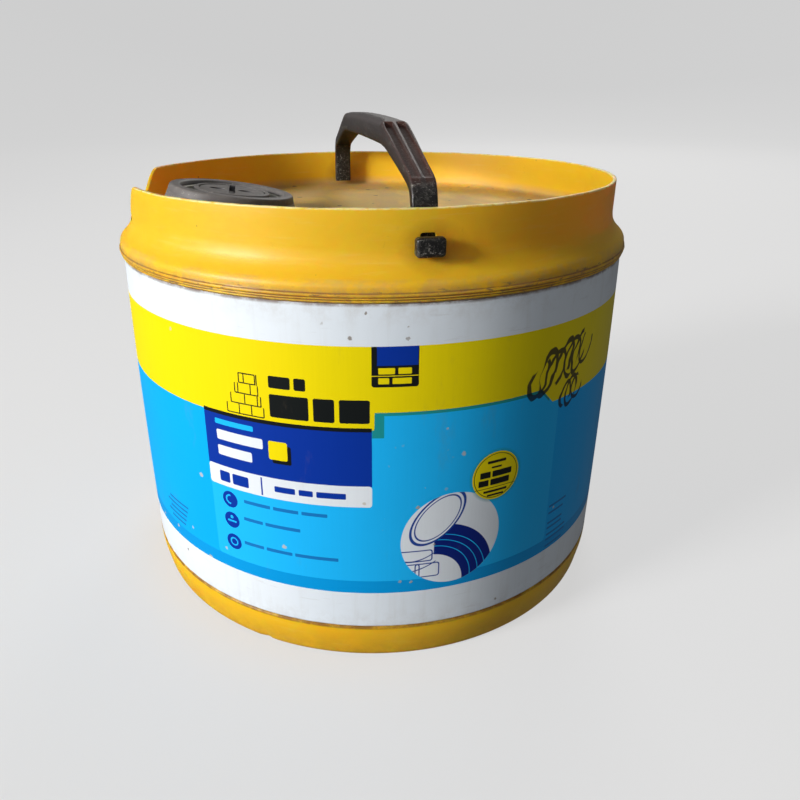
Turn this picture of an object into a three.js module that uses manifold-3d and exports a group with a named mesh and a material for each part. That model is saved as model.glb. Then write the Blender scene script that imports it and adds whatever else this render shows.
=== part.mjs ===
// Round tight-head pail, ten litres: plastic tube body with a label sleeve, end mouldings with a
// raised collar round the deck, a strap handle and a tilted closure with a pull-up pouring spout.
// Millimetres. +Z is up, the origin is the middle of the base, the handle swings about Y and the
// closure stands on the -X side of the deck.
import * as THREE from 'three';
import { mergeVertices } from 'three/addons/utils/BufferGeometryUtils.js';
import Module from 'manifold-3d';

const wasm = await Module();
wasm.setup();

// Driving dimensions
const bodyRadius = 136; // outside of the tube where it is widest
const tubeWall = 1.8;
const tubeBottom = 21.0;
const tubeTop = 182.6;
const labelBottom = 41.7;
const labelTop = 164.6;
const labelThickness = 0.4;
const gap = 0.3; // clearance between neighbouring pieces
const deckHeight = 196.3;
const deckThickness = 2.2;
const rimHeight = 219.0;
const collarRadius = 129.0; // outside of the collar at its rim
const collarWall = 1.8;
const lipRadius = 137.0; // widest point, the weld lip
const footRadius = 132.5;
const pivotHeight = 204.2; // handle axis
const shankRadius = 2.6;
const slotWidth = 6.2;
const slotHeight = 11.4;
const strapWidth = 12.6; // at the grip
const legWidth = 10.6; // at the leg ends
const strapThickness = 4.2;
const gripTop = 248.4;
const headWidth = 12.1;
const headHeight = 8.0;
const closureX = -78.7; // where the closure's axis starts, just under the deck surface
const closureZ = 195.7;
const closureTilt = THREE.MathUtils.degToRad(8);
const neckRadius = 30.0;
const neckBore = 27.4;
const closureTopZ = 16.0; // heights in the closure are along its own axis
const capRadius = 20.3;
const capTop = 15.4;
const pocketRadius = 17.6;
const pocketFloor = 12.2;
const tabHingeX = 2.6;
const tabHingeZ = 14.0;
const tabPin = 0.8;
const threadPitch = 2.5;
const roundSegments = 64;
const smallSegments = 32;

// Materials
function plastic(colour, roughness) {
  return new THREE.MeshStandardMaterial({ color: colour, roughness, metalness: 0 });
}

const yellowPlastic = plastic(0xe3b51f, 0.45);
const whitePlastic = plastic(0xe9eef2, 0.4);
const labelFilm = plastic(0x49b6e6, 0.35);
const blackPlastic = plastic(0x2b2826, 0.55);
const greyPlastic = plastic(0x4a4b4e, 0.6);
const rubberMaterial = plastic(0x1d1d1d, 0.8);
const naturalPlastic = plastic(0xd8d6cc, 0.5);

// Solids: geometry in, manifold out, and back again
function toSolid(geometry) {
  const bare = geometry.clone();
  bare.deleteAttribute('normal');
  bare.deleteAttribute('uv');
  const merged = mergeVertices(bare, 1e-4);
  return new wasm.Manifold(new wasm.Mesh({
    numProp: 3,
    vertProperties: new Float32Array(merged.attributes.position.array),
    triVerts: new Uint32Array(merged.index.array),
  }));
}

function toGeometry(solid) {
  const mesh = solid.getMesh();
  const geometry = new THREE.BufferGeometry();
  geometry.setAttribute('position', new THREE.BufferAttribute(mesh.vertProperties, 3));
  geometry.setIndex(new THREE.BufferAttribute(mesh.triVerts, 1));
  geometry.computeVertexNormals();
  return geometry;
}

// Turned shape about +Z from a list of [radius, height]; a ring's profile is closed on itself
function turned(profile, segments, isRing) {
  const points = profile.map(([radius, height]) => new THREE.Vector2(radius, height));
  if (isRing) {
    points.push(points[0].clone());
  }
  return new THREE.LatheGeometry(points, segments).rotateX(Math.PI / 2);
}

// Points of an arc in the profile plane, angles in degrees
function arc(centreR, centreZ, radius, fromAngle, toAngle, steps) {
  const points = [];
  for (let i = 0; i <= steps; i += 1) {
    const angle = THREE.MathUtils.degToRad(fromAngle + ((toAngle - fromAngle) * i) / steps);
    points.push([centreR + radius * Math.cos(angle), centreZ + radius * Math.sin(angle)]);
  }
  return points;
}

function block(sizeX, sizeY, sizeZ, x, y, z) {
  return toSolid(new THREE.BoxGeometry(sizeX, sizeY, sizeZ).translate(x, y, z));
}

// Rounded rectangle in the X-Z plane, extruded along Y from nearY towards +Y
function roundedBar(width, height, radius, length, nearY, z) {
  const shape = new THREE.Shape();
  const halfWidth = width / 2;
  const halfHeight = height / 2;
  shape.moveTo(-halfWidth + radius, -halfHeight);
  shape.lineTo(halfWidth - radius, -halfHeight);
  shape.absarc(halfWidth - radius, -halfHeight + radius, radius, -Math.PI / 2, 0);
  shape.absarc(halfWidth - radius, halfHeight - radius, radius, 0, Math.PI / 2);
  shape.absarc(-halfWidth + radius, halfHeight - radius, radius, Math.PI / 2, Math.PI);
  shape.absarc(-halfWidth + radius, -halfHeight + radius, radius, Math.PI, 1.5 * Math.PI);
  const bar = new THREE.ExtrudeGeometry(shape, { depth: length, bevelEnabled: false, curveSegments: 4 });
  return toSolid(bar.rotateX(Math.PI / 2).translate(0, nearY + length, z));
}

// Body tube: slightly barrelled, with a shallow seat for the label
function tubeRadius(height) {
  const middle = 95;
  const bulge = (height - middle) / 90;
  return bodyRadius - 0.75 * bulge * bulge;
}

function makeTube() {
  const seat = labelThickness + 2 * gap;
  const inner = (height) => tubeRadius(height) - seat - tubeWall;
  const labelSteps = 4;
  const profile = [[inner(tubeBottom), tubeBottom], [tubeRadius(tubeBottom), tubeBottom]];
  profile.push([tubeRadius(labelBottom - gap), labelBottom - gap]);
  for (let i = 0; i <= labelSteps; i += 1) {
    const height = labelBottom - gap + ((labelTop - labelBottom + 2 * gap) * i) / labelSteps;
    profile.push([tubeRadius(height) - seat + gap, height]);
  }
  profile.push([tubeRadius(labelTop + gap), labelTop + gap]);
  profile.push([tubeRadius(tubeTop), tubeTop], [inner(tubeTop), tubeTop]);
  for (let i = labelSteps - 1; i > 0; i -= 1) {
    const height = tubeBottom + ((tubeTop - tubeBottom) * i) / labelSteps;
    profile.push([inner(height), height]);
  }
  return turned(profile, roundSegments, true);
}

// Label: a thin sleeve that lies flush in its seat
function makeLabel() {
  const steps = 4;
  const outside = [];
  const inside = [];
  for (let i = 0; i <= steps; i += 1) {
    const height = labelBottom + ((labelTop - labelBottom) * i) / steps;
    outside.push([tubeRadius(height), height]);
    inside.unshift([tubeRadius(height) - labelThickness, height]);
  }
  return turned([...outside, ...inside], roundSegments, true);
}

// Bottom end: foot ring, dished floor and a skirt welded inside the tube
function makeBottomEnd() {
  const skirtRadius = tubeRadius(tubeBottom) - labelThickness - 2 * gap - tubeWall - gap;
  const skirtWall = 2.0;
  const skirtTop = 33;
  const floorHeight = 6;
  const floorThickness = 2.4;
  const footWidth = 9;
  const edge = 2.2;
  const profile = [
    [0, floorHeight],
    [footRadius - footWidth - 4, floorHeight],
    [footRadius - footWidth, 0],
    ...arc(footRadius - edge, edge, edge, -90, 0, 3),
    [tubeRadius(tubeBottom), tubeBottom - gap - 4],
    [tubeRadius(tubeBottom), tubeBottom - gap],
    [skirtRadius, tubeBottom - gap],
    [skirtRadius, skirtTop],
    [skirtRadius - skirtWall, skirtTop],
    [skirtRadius - skirtWall, floorHeight + floorThickness + 6],
    [skirtRadius - skirtWall - 5, floorHeight + floorThickness],
    [0, floorHeight + floorThickness],
  ];
  return turned(profile, roundSegments, false);
}

// The closure's own frame, tilted so that its outer side stands higher
function placeClosure(object) {
  object.position.set(closureX, 0, closureZ);
  object.rotation.y = closureTilt;
  object.updateMatrix();
  return object;
}

// Top end: welded skirt, lip, shoulder, collar with two handle slots and a dip, deck and neck
function makeTopEnd() {
  const skirtRadius = tubeRadius(tubeTop) - labelThickness - 2 * gap - tubeWall - gap;
  const skirtWall = 2.0;
  const skirtBottom = 172;
  const waistHeight = 198;
  const fillet = 2.5;
  const innerWall = collarRadius - collarWall;
  const shell = toSolid(turned([
    [0, deckHeight - deckThickness],
    [innerWall - 4, deckHeight - deckThickness],
    [skirtRadius - skirtWall, deckHeight - deckThickness - 7],
    [skirtRadius - skirtWall, skirtBottom],
    [skirtRadius, skirtBottom],
    [skirtRadius, tubeTop + gap],
    [lipRadius - 1.6, tubeTop + gap],
    [lipRadius, tubeTop + gap + 1.6],
    [lipRadius, 187.2],
    [135.8, 190.9],
    [collarRadius + 0.6, waistHeight],
    [collarRadius, waistHeight + 3],
    [collarRadius, rimHeight - 0.3],
    [collarRadius - 0.3, rimHeight],
    [innerWall + 0.3, rimHeight],
    [innerWall, rimHeight - 0.3],
    ...arc(innerWall - fillet, deckHeight + fillet, fillet, 0, -90, 3),
    [0, deckHeight],
  ], roundSegments, false));

  // Neck boss, square to the tilted axis, trimmed under the deck
  const boss = placeClosure(new THREE.Object3D());
  const bossShape = turned([
    [0, -12], [32.6, -12], [32.6, 5.7], [neckRadius, 5.7], [neckRadius, 10.4],
    [neckRadius - 0.6, 11], [0, 11],
  ], smallSegments, false).applyMatrix4(boss.matrix);
  const aboveDeck = block(90, 90, 40, closureX, 0, deckHeight - 1 + 20);
  const bore = turned([[0, -30], [neckBore, -30], [neckBore, 30], [0, 30]], smallSegments, false);

  // Slots for the handle's shanks, taller than the shanks by the play of the real handle
  const slotBottom = pivotHeight - 4.6;
  const slots = roundedBar(slotWidth, slotHeight, 1.2, 2 * lipRadius + 4, -lipRadius - 2,
    slotBottom + slotHeight / 2);

  // Dip in the collar beside the closure, with a long soft curve at each side
  const dip = new THREE.Shape();
  const dipHalf = 46; // where the rim starts to fall
  const dipFloorHalf = 20;
  const dipFloor = 204.5;
  const dipPull = 9; // how far each curve's ends run level
  const dipDepth = 33;
  dip.moveTo(-dipHalf, rimHeight + 5);
  dip.lineTo(-dipHalf, rimHeight);
  dip.bezierCurveTo(-dipHalf + dipPull, rimHeight, -dipFloorHalf - dipPull, dipFloor, -dipFloorHalf, dipFloor);
  dip.lineTo(dipFloorHalf, dipFloor);
  dip.bezierCurveTo(dipFloorHalf + dipPull, dipFloor, dipHalf - dipPull, rimHeight, dipHalf, rimHeight);
  dip.lineTo(dipHalf, rimHeight + 5);
  const dipCut = new THREE.ExtrudeGeometry(dip, {
    depth: dipDepth, bevelEnabled: false, curveSegments: 8,
  });
  dipCut.rotateX(Math.PI / 2).rotateZ(Math.PI / 2).translate(-collarRadius - 20, 0, 0);

  return toGeometry(shell
    .add(toSolid(bossShape).intersect(aboveDeck))
    .subtract(toSolid(bore.applyMatrix4(boss.matrix)))
    .subtract(slots)
    .subtract(toSolid(dipCut)));
}

// Handle: one moulding with a deep grip, sloping legs with two open channels, straight leg ends,
// and at each end a shank through the collar slot with a T-head outside it
function makeHandle() {
  const bevel = 0.8;
  const corner = { y: 60, z: 247.4 }; // where the grip's top turns into the slope
  const knee = { y: 119, z: 228.6 }; // where the slope turns into the straight leg
  const legOuter = 123.8;
  const legInner = legOuter - strapThickness;
  const legBottom = pivotHeight - 5;
  const gripUnderside = 236.6;
  const halfOutline = [
    [corner.y, corner.z],
    [knee.y - 2, knee.z + 0.8],
    [knee.y + 2, knee.z - 2.4],
    [legOuter - 0.4, 220],
    [legOuter, legBottom + 1.5],
    [legOuter - 1.5, legBottom],
    [legInner + 1.5, legBottom],
    [legInner, legBottom + 1.5],
    [legInner - 0.4, 218],
    [knee.y - 3.5, knee.z - 5],
    [corner.y + 12, gripUnderside - 0.8],
    [corner.y - 10, gripUnderside],
  ];
  const side = new THREE.Shape();
  side.moveTo(0, gripTop);
  halfOutline.forEach(([y, z]) => side.lineTo(y, z));
  side.lineTo(0, gripUnderside + 0.6);
  halfOutline.reverse().forEach(([y, z]) => side.lineTo(-y, z));
  side.closePath();
  const strap = new THREE.ExtrudeGeometry(side, {
    depth: strapWidth - 2 * bevel,
    bevelEnabled: true,
    bevelThickness: bevel,
    bevelSize: bevel,
    bevelOffset: -bevel,
    bevelSegments: 2,
  });
  strap.translate(0, 0, bevel - strapWidth / 2).rotateY(Math.PI / 2).rotateX(Math.PI / 2);

  // The strap narrows from the grip to the leg ends
  const taper = new THREE.Shape();
  const wide = strapWidth / 2 + 0.1;
  const narrow = legWidth / 2;
  const taperStart = corner.y + 5;
  taper.moveTo(wide, -taperStart);
  [[wide, taperStart], [narrow, knee.y], [narrow, legOuter + 1]].forEach(([x, y]) => taper.lineTo(x, y));
  [[narrow, legOuter + 1], [narrow, knee.y], [wide, taperStart]].forEach(([x, y]) => taper.lineTo(-x, y));
  [[wide, taperStart], [narrow, knee.y], [narrow, legOuter + 1]].forEach(([x, y]) => taper.lineTo(-x, -y));
  [[narrow, legOuter + 1], [narrow, knee.y]].forEach(([x, y]) => taper.lineTo(x, -y));
  const taperBlock = new THREE.ExtrudeGeometry(taper, { depth: 70, bevelEnabled: false });
  let handle = toSolid(strap).intersect(toSolid(taperBlock.translate(0, 0, legBottom - 5)));

  // Channels in the slopes
  const channelWidth = 3.3;
  const channelCentre = 2.7;
  const channelLength = 50;
  const channelDepth = 4.2;
  const slope = Math.atan2(corner.z - knee.z, knee.y - corner.y);
  const middleY = (corner.y + knee.y) / 2;
  const middleZ = (corner.z + knee.z) / 2;
  [[-1, -1], [-1, 1], [1, -1], [1, 1]].forEach(([end, edge]) => {
    const cut = new THREE.BoxGeometry(channelWidth, channelLength, 2 * channelDepth);
    cut.rotateX(-end * slope).translate(edge * channelCentre, end * middleY, middleZ);
    handle = handle.subtract(toSolid(cut));
  });

  // Shanks and T-heads
  const headInner = 130.2;
  const headThickness = 5.2;
  const shankStart = legInner + 1;
  const shankLength = headInner + 1 - shankStart;
  const shank = new THREE.CylinderGeometry(shankRadius, shankRadius, shankLength, 20);
  [-1, 1].forEach((end) => {
    const middle = end * (shankStart + shankLength / 2);
    const nearY = end > 0 ? headInner : -headInner - headThickness;
    handle = handle
      .add(toSolid(shank.clone().translate(0, middle, pivotHeight)))
      .add(roundedBar(headWidth, headHeight, 2.0, headThickness, nearY, pivotHeight));
  });
  return toGeometry(handle);
}

// Closure pieces, in the closure's own frame
function makeClosureRing() {
  return turned([
    [34.6, 6.0], [35.0, 6.6], [35.0, 8.4], [33.4, 13.4], ...arc(31.4, 14.2, 1.8, 0, 90, 3),
    [28.2, closureTopZ], [26.9, 15.2], [26.3, 13.6], [neckRadius + gap, 13.6],
    [neckRadius + gap, 6.0],
  ], smallSegments, true);
}

function makeNeckGasket() {
  return turned([
    [neckBore + 0.4, 11.3], [neckRadius - 0.3, 11.3], [neckRadius - 0.3, 12.1],
    [neckBore + 0.4, 12.1],
  ], smallSegments, true);
}

// Folded spout wall: clamped flange, down the outside of the fold and up its inside
function makeBellows() {
  const wall = 1.0;
  const foldZ = -8;
  const outerR = 26.0;
  const innerR = 22.4;
  const foldR = (outerR - innerR) / 2;
  const foldCentre = (outerR + innerR) / 2;
  return turned([
    [neckRadius - 0.3, 12.4],
    [neckRadius - 0.3, 13.3],
    [outerR - wall - 0.3, 13.3],
    [outerR - wall, 12.4],
    ...arc(foldCentre, foldZ, foldR - wall, 0, -180, 4),
    [innerR + wall, 2.4],
    [innerR, 2.4],
    ...arc(foldCentre, foldZ, foldR, -180, 0, 6),
    [outerR, 12.4],
  ], smallSegments, true);
}

// Nozzle: base flange, threaded wall and lip
function makeNozzle() {
  const outerR = 17.2;
  const innerR = 15.4;
  const threadDepth = 0.8;
  const threads = [];
  for (let turn = 0; turn < 3; turn += 1) {
    const z = 1.9 + turn * threadPitch;
    threads.push([outerR, z], [outerR + threadDepth, z + 0.4]);
    threads.push([outerR + threadDepth, z + 0.8], [outerR, z + 1.2]);
  }
  return turned([
    [innerR, -3.0], [21.9, -3.0], [22.1, -2.4], [22.1, 0.4], [outerR, 0.9],
    ...threads,
    [outerR, 9.4], [innerR, 9.4],
  ], smallSegments, true);
}

// Tear-out seal: a disc across the nozzle with a raised pull ring
function makeTearSeal() {
  const discRadius = 15.1;
  return turned([
    [0, 3.0], [discRadius, 3.0], [discRadius, 3.8], [9.4, 3.8], [9.4, 5.2], [7.6, 5.2],
    [7.6, 3.8], [0, 3.8],
  ], smallSegments, false);
}

function makeCapSeal() {
  const sealRadius = 17.9;
  return turned([[0, 9.7], [sealRadius, 9.7], [sealRadius, 10.5], [0, 10.5]], smallSegments, false);
}

// Cap: threaded skirt and a sunk top where the two pull tabs lie
function makeCap() {
  const skirtInner = 18.3;
  const cap = toSolid(turned([
    [0, 10.8], [skirtInner, 10.8], [skirtInner, 1.8], [capRadius, 1.8],
    [capRadius, capTop - 0.8], [capRadius - 0.8, capTop], [pocketRadius, capTop],
    [pocketRadius, pocketFloor], [0, pocketFloor],
  ], smallSegments, false));
  const hole = new THREE.CylinderGeometry(tabPin + gap, tabPin + gap, 2 * (capRadius - 1.0), 16);
  let body = cap;
  [-1, 1].forEach((side) => {
    const pair = toSolid(hole.clone().translate(side * tabHingeX, 0, tabHingeZ));
    const inside = toSolid(new THREE.CylinderGeometry(pocketRadius - 1, pocketRadius - 1, 30, 24)
      .rotateX(Math.PI / 2).translate(0, 0, capTop - 15));
    body = body.subtract(pair.subtract(inside));
  });
  return toGeometry(body);
}

// Pull tab: a D with a finger hole and a pin at each end of its straight bar
function makeTab(side) {
  const outerR = pocketRadius - 0.5;
  const barInner = 1.6;
  const holeX = 7.6; // middle of the finger hole
  const holeWide = 4.4;
  const holeDeep = 3.2;
  const thickness = 2.2;
  const reach = Math.sqrt(outerR * outerR - barInner * barInner);
  const outline = new THREE.Shape();
  const start = Math.atan2(reach, barInner);
  outline.moveTo(barInner, -reach);
  outline.absarc(0, 0, outerR, -start, start);
  outline.lineTo(barInner, -reach);
  const hole = new THREE.Path();
  hole.absellipse(holeX, 0, holeWide, holeDeep, 0, 2 * Math.PI);
  outline.holes.push(hole);
  const plate = new THREE.ExtrudeGeometry(outline, {
    depth: thickness, bevelEnabled: false, curveSegments: 16,
  });
  plate.translate(0, 0, tabHingeZ - thickness / 2);
  if (side < 0) {
    plate.rotateZ(Math.PI);
  }
  const pinLength = 2 * (capRadius - 1.4);
  const pin = new THREE.CylinderGeometry(tabPin, tabPin, pinLength, 12);
  pin.translate(side * tabHingeX, 0, tabHingeZ);
  return toGeometry(toSolid(plate).add(toSolid(pin)));
}

function addPiece(group, name, geometry, material) {
  const mesh = new THREE.Mesh(geometry, material);
  mesh.name = name;
  group.add(mesh);
}

const pail = new THREE.Group();
addPiece(pail, 'body_tube', makeTube(), whitePlastic);
addPiece(pail, 'label_wrap', makeLabel(), labelFilm);
addPiece(pail, 'bottom_end', makeBottomEnd(), yellowPlastic);
addPiece(pail, 'top_end', makeTopEnd(), yellowPlastic);
addPiece(pail, 'handle', makeHandle(), blackPlastic);

const closure = placeClosure(new THREE.Group());
addPiece(closure, 'closure_ring', makeClosureRing(), greyPlastic);
addPiece(closure, 'neck_gasket', makeNeckGasket(), rubberMaterial);
addPiece(closure, 'spout_bellows', makeBellows(), naturalPlastic);
addPiece(closure, 'spout_nozzle', makeNozzle(), naturalPlastic);
addPiece(closure, 'tear_seal', makeTearSeal(), naturalPlastic);
addPiece(closure, 'cap_seal', makeCapSeal(), naturalPlastic);
addPiece(closure, 'spout_cap', makeCap(), greyPlastic);
addPiece(closure, 'pull_tab_left', makeTab(-1), greyPlastic);
addPiece(closure, 'pull_tab_right', makeTab(1), greyPlastic);
pail.add(closure);

export default pail;
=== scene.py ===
import bpy
import bmesh
import math
from functools import reduce
from mathutils import Matrix, Vector, noise


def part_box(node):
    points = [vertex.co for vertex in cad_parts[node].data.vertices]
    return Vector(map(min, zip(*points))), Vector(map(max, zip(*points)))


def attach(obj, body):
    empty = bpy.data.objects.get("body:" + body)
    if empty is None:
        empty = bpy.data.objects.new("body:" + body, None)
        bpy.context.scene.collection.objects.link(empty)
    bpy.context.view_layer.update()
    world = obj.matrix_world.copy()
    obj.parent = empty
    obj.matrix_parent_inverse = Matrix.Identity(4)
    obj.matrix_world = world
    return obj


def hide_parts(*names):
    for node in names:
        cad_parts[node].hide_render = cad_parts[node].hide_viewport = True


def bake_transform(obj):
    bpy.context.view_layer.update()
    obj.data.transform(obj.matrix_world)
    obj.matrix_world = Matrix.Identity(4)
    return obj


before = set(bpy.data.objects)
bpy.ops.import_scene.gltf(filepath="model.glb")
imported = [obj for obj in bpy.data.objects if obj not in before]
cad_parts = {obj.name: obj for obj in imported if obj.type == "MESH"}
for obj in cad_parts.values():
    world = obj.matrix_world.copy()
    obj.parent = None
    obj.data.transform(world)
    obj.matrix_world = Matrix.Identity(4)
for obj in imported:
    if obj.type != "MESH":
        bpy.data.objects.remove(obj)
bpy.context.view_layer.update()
mm = 0.001


# a shader value that can stand in a sum; node() makes any other node and joins its sockets
class Wire:
    def __init__(self, tree, socket=None):
        self.tree = tree
        self.socket = socket

    def node(self, kind, settings=None, inputs=None, out=0):
        made = self.tree.nodes.new("ShaderNode" + kind)
        for name, value in (settings or {}).items():
            setattr(made, name, value)
        for name, value in (inputs or {}).items():
            if isinstance(value, Wire):
                self.tree.links.new(value.socket, made.inputs[name])
            else:
                made.inputs[name].default_value = value
        return Wire(self.tree, made.outputs[out])

    def maths(self, operation, *values, clamp=False):
        settings = {"operation": operation, "use_clamp": clamp}
        return self.node("Math", settings, dict(enumerate(values)))

    def __add__(self, other):
        return self.maths("ADD", self, other)

    def __sub__(self, other):
        return self.maths("SUBTRACT", self, other)

    def __rsub__(self, other):
        return self.maths("SUBTRACT", other, self)

    def __mul__(self, other):
        return self.maths("MULTIPLY", self, other)

    def __truediv__(self, other):
        return self.maths("DIVIDE", self, other)

    def __abs__(self):
        return self.maths("ABSOLUTE", self)

    __radd__ = __add__
    __rmul__ = __mul__

    def clamped(self):
        return self.maths("ADD", self, 0.0, clamp=True)

    def above(self, level, soft):  # 0 under the level, 1 over it
        return self.maths("MULTIPLY_ADD", self, 1 / soft, 0.5 - level / soft, clamp=True)

    def under(self, level, soft):
        return self.maths("MULTIPLY_ADD", self, -1 / soft, 0.5 + level / soft, clamp=True)

    def most(self, other):
        return self.maths("MAXIMUM", self, other)

    def least(self, other):
        return self.maths("MINIMUM", self, other)


def together(masks):  # one mask that holds them all
    return reduce(lambda first, second: first.most(second), masks)


def ink(red, green, blue):  # screen colour, 0 to 255, as a linear shader colour
    linear = [((c / 255 + 0.055) / 1.055) ** 2.4 if c > 10 else c / 3294.6 for c in (red, green, blue)]
    return (*linear, 1.0)


def mixColour(factor, under, over):
    start = next(v for v in (factor, under, over) if isinstance(v, Wire))
    return start.node("Mix", {"data_type": "RGBA"}, {0: factor, 6: under, 7: over}, out=2)


def startFinish(name):  # material, its place wires in millimetres, and its shader node
    material = bpy.data.materials.new(name)
    material.use_nodes = True
    tree = material.node_tree
    shader = tree.nodes["Principled BSDF"]
    place = Wire(tree).node("TexCoord", out="Object")
    scaled = place.node("VectorMath", {"operation": "SCALE"}, {0: place, "Scale": 1000.0})
    return material, scaled, shader


def splitPlace(place):
    return [place.node("SeparateXYZ", inputs={0: place}, out=i) for i in range(3)]


def cloud(place, size, detail=4.0, rough=0.55, distort=0.0):  # noise with lumps of about size mm
    return place.node("TexNoise", inputs={"Vector": place, "Scale": 1 / size, "Detail": detail,
                                          "Roughness": rough, "Distortion": distort})


def stretched(place, x, y, z):
    return place.node("VectorMath", {"operation": "MULTIPLY"}, {0: place, 1: (x, y, z)})


def joinShader(shader, values):  # wires are linked and plain values are set
    for name, value in values.items():
        if isinstance(value, Wire):
            value.tree.links.new(value.socket, shader.inputs[name])
        else:
            shader.inputs[name].default_value = value


def bumped(height, depth):  # depth in millimetres
    return height.node("Bump", inputs={"Height": height, "Distance": depth * mm, "Strength": 1.0})


def endFinish(shader, colour, rough, height, depth, shine=0.5, glow=None):
    joinShader(shader, {"Base Color": colour, "Roughness": rough, "Normal": bumped(height, depth),
                        "Specular IOR Level": shine})
    if glow:  # light that wanders inside the plastic
        weight, reach, scale = glow
        joinShader(shader, {"Subsurface Weight": weight, "Subsurface Radius": reach,
                            "Subsurface Scale": scale})


# rounds the corners of an outline of (radius, height, corner) points
def roundOff(points, steps=4):
    made = []
    count = len(points)
    for i, (r, z, *corner) in enumerate(points):
        size = corner[0] if corner else 0
        here = Vector((r, z))
        back = Vector(points[i - 1][:2]) - here
        ahead = Vector(points[(i + 1) % count][:2]) - here
        if size <= 0 or back.length < 1e-6 or ahead.length < 1e-6:
            made.append((r, z))
            continue
        size = min(size, back.length * 0.48, ahead.length * 0.48)
        start = here + back.normalized() * size
        end = here + ahead.normalized() * size
        for k in range(steps + 1):
            t = k / steps
            made.append(tuple((1 - t) ** 2 * start + 2 * t * (1 - t) * here + t * t * end))
    return made


def placed(name, data):
    thing = bpy.data.objects.new(name, data)
    bpy.context.scene.collection.objects.link(thing)
    return thing


def meshObject(name, verts, faces, sharpAngle=35):
    mesh = bpy.data.meshes.new(name)
    mesh.from_pydata([tuple(v) for v in verts], [], faces)
    mesh.validate()
    thing = placed(name, mesh)
    smooth(thing, sharpAngle)
    return thing


def shapeObject(name, shape):  # takes an edited shape over into an object
    mesh = bpy.data.meshes.new(name)
    shape.to_mesh(mesh)
    shape.free()
    return placed(name, mesh)


def smooth(thing, sharpAngle=35):
    mesh = thing.data
    mesh.polygons.foreach_set("use_smooth", [True] * len(mesh.polygons))
    mesh.set_sharp_from_angle(angle=math.radians(sharpAngle))
    mesh.update()


# turned piece from (radius, height) points in millimetres; a ring's outline closes on itself
def turn(name, profile, segments=192, ring=False, shape=None, sharpAngle=35):
    verts = []
    rows = []
    for r, z in profile:
        if r < 1e-6:
            rows.append([len(verts)] * segments)
            verts.append((0.0, 0.0, z * mm))
            continue
        rows.append(list(range(len(verts), len(verts) + segments)))
        for k in range(segments):
            angle = 2 * math.pi * k / segments
            radius, height = shape(r, z, angle) if shape else (r, z)
            verts.append((radius * mm * math.cos(angle), radius * mm * math.sin(angle), height * mm))
    faces = []
    pairs = list(zip(rows, rows[1:]))
    if ring:
        pairs.append((rows[-1], rows[0]))
    for low, high in pairs:
        for k in range(segments):
            n = (k + 1) % segments
            face = [low[k], low[n], high[n], high[k]]
            face = [v for i, v in enumerate(face) if v != face[i - 1]]
            if len(face) > 2:
                faces.append(face)
    return meshObject(name, verts, faces, sharpAngle)


def plug(name, radius, low, high, segments):  # plain tool for cutting and joining
    return turn(name, [(0, low), (radius, low), (radius, high), (0, high)], segments)


def roundedBlock(name, size, centre, corner, segments=3):  # block with rounded edges, in millimetres
    block = bmesh.new()
    bmesh.ops.create_cube(block, size=1.0)
    bmesh.ops.scale(block, vec=Vector(size) * mm, verts=block.verts)
    bmesh.ops.bevel(block, geom=block.edges[:], offset=corner * mm, segments=segments, profile=0.5,
                    affect="EDGES")
    bmesh.ops.translate(block, vec=Vector(centre) * mm, verts=block.verts)
    return shapeObject(name, block)


def smoothstep(value, low, high):
    t = min(1.0, max(0.0, (value - low) / (high - low)))
    return t * t * (3 - 2 * t)


def applyModifiers(thing):
    bpy.context.view_layer.update()
    graph = bpy.context.evaluated_depsgraph_get()
    mesh = bpy.data.meshes.new_from_object(thing.evaluated_get(graph))
    thing.modifiers.clear()
    thing.data = mesh


def combine(thing, tool, operation):  # joins or cuts with a tool, which is used up
    modifier = thing.modifiers.new("combine", "BOOLEAN")
    modifier.operation = operation
    modifier.solver = "EXACT"
    modifier.object = tool
    applyModifiers(thing)
    bpy.data.objects.remove(tool)


def moveMesh(thing, matrix):
    thing.data.transform(matrix)
    return thing


def softenEdges(thing, width, segments=2, angle=40):
    modifier = thing.modifiers.new("edges", "BEVEL")
    modifier.width = width * mm
    modifier.segments = segments
    modifier.limit_method = "ANGLE"
    modifier.angle_limit = math.radians(angle)
    applyModifiers(thing)


def finishPiece(thing, material, body, nodes=()):
    thing.data.materials.clear()
    thing.data.materials.append(material)
    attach(thing, body)
    if nodes:
        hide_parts(*nodes)
    return thing


print("view, light and floor")

view = {
    "side": math.radians(-9.8),  # the handle's axis is turned this much from the line of sight
    "reach": 0.3957,
    "height": 0.2611,
    "tilt": math.radians(22.554),
    "roll": math.radians(-0.23),
    "lens": 31.01,
    "shiftX": 0.0344,
    "shiftY": -0.0323,
}


def addCamera():
    data = bpy.data.cameras.new("viewCamera")
    data.lens = view["lens"]
    data.sensor_width = 36.0
    data.shift_x = view["shiftX"]
    data.shift_y = view["shiftY"]
    data.clip_start = 0.01
    camera = placed("viewCamera", data)
    forward = Vector((0, math.cos(view["tilt"]), -math.sin(view["tilt"])))
    rise = Vector((0, math.sin(view["tilt"]), math.cos(view["tilt"])))
    across = Vector((1, 0, 0))
    right = across * math.cos(view["roll"]) + rise * math.sin(view["roll"])
    up = rise * math.cos(view["roll"]) - across * math.sin(view["roll"])
    facing = Matrix((right, up, -forward)).transposed().to_4x4()
    aside = Matrix.Rotation(view["side"], 4, "Z")
    camera.matrix_world = aside @ Matrix.Translation((0, -view["reach"], view["height"])) @ facing
    bpy.context.scene.camera = camera


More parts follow.
